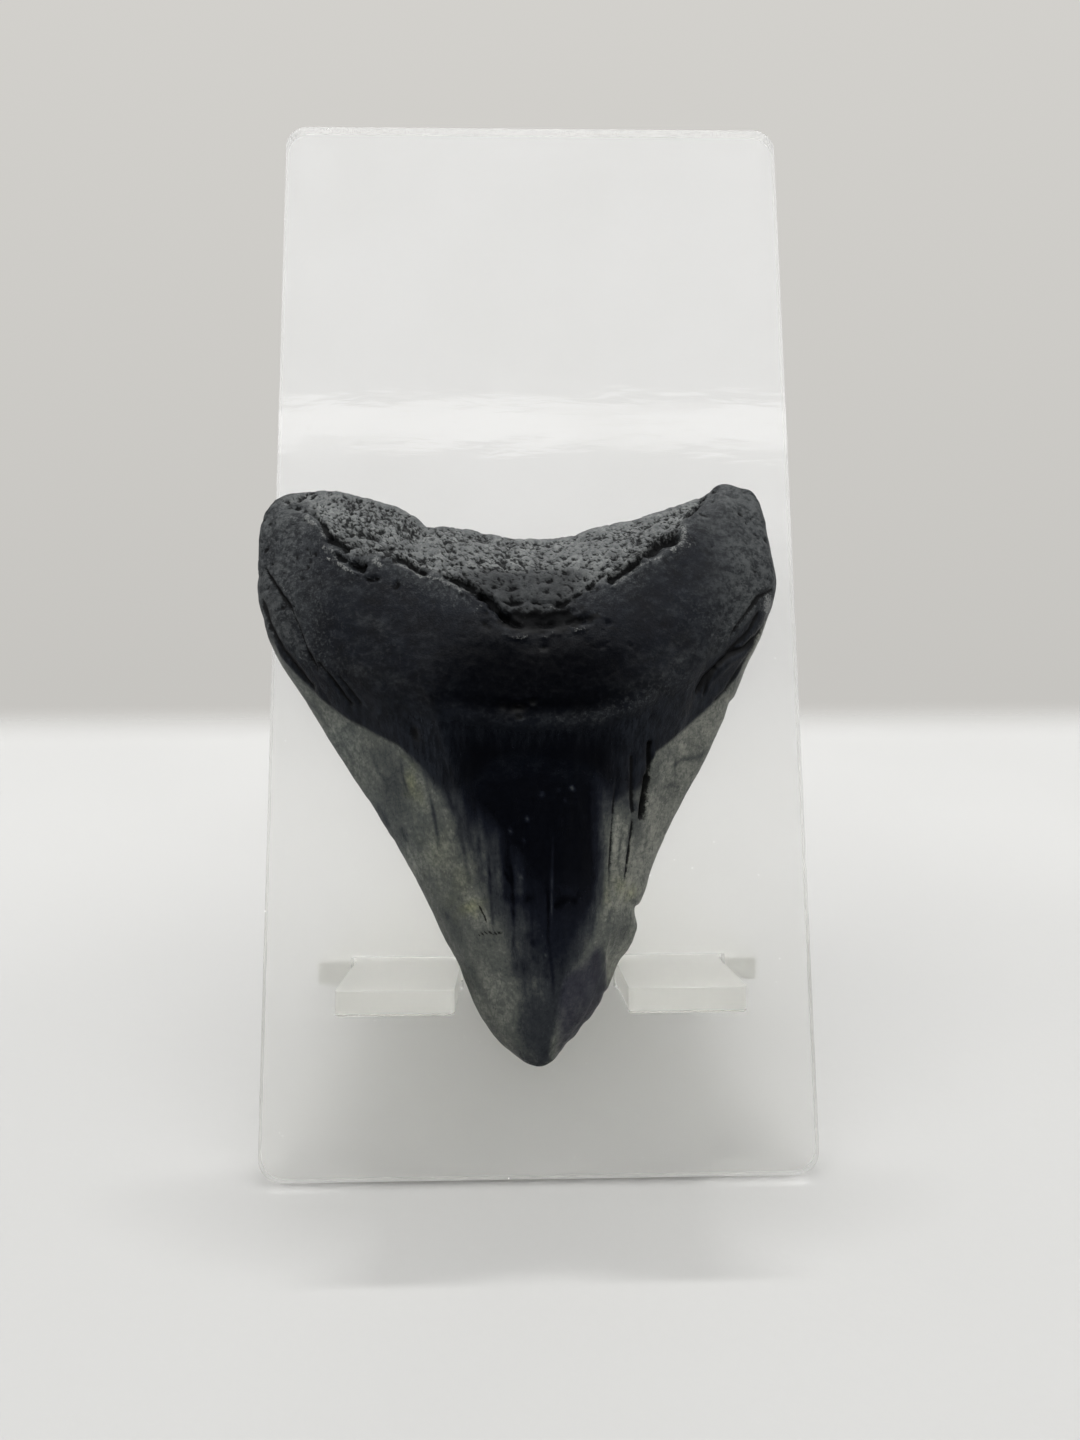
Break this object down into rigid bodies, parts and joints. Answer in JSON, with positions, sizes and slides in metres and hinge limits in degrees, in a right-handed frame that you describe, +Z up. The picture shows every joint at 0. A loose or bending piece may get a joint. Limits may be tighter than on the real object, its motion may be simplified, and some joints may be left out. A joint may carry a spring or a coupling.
{
  "type": "megalodon tooth on stand",
  "caption": "Fossil shark tooth standing point down on a leaning frosted acrylic easel with a slotted plate and a forked ledge.",
  "frame": {"origin": "on the table, under the middle of the whole object's bounding box", "axes": "+Z up, -Y toward the front that shows the tooth, +X to the right seen from the front"},
  "size_m": [0.0758, 0.0842, 0.1397],
  "materials": {
    "fossil_tooth": "black to olive-grey fossil: satin enamel blade, matte porous root",
    "frosted_acrylic_plate": "frosted clear acrylic sheet, glossy front, frosted back, polished edges",
    "frosted_acrylic_support": "frosted clear acrylic sheet, cut edges"
  },
  "bodies": {
    "root": {"megalodon_tooth": "fossil_tooth", "stand_plate": "frosted_acrylic_plate", "stand_support": "frosted_acrylic_support"}
  },
  "joints": []
}
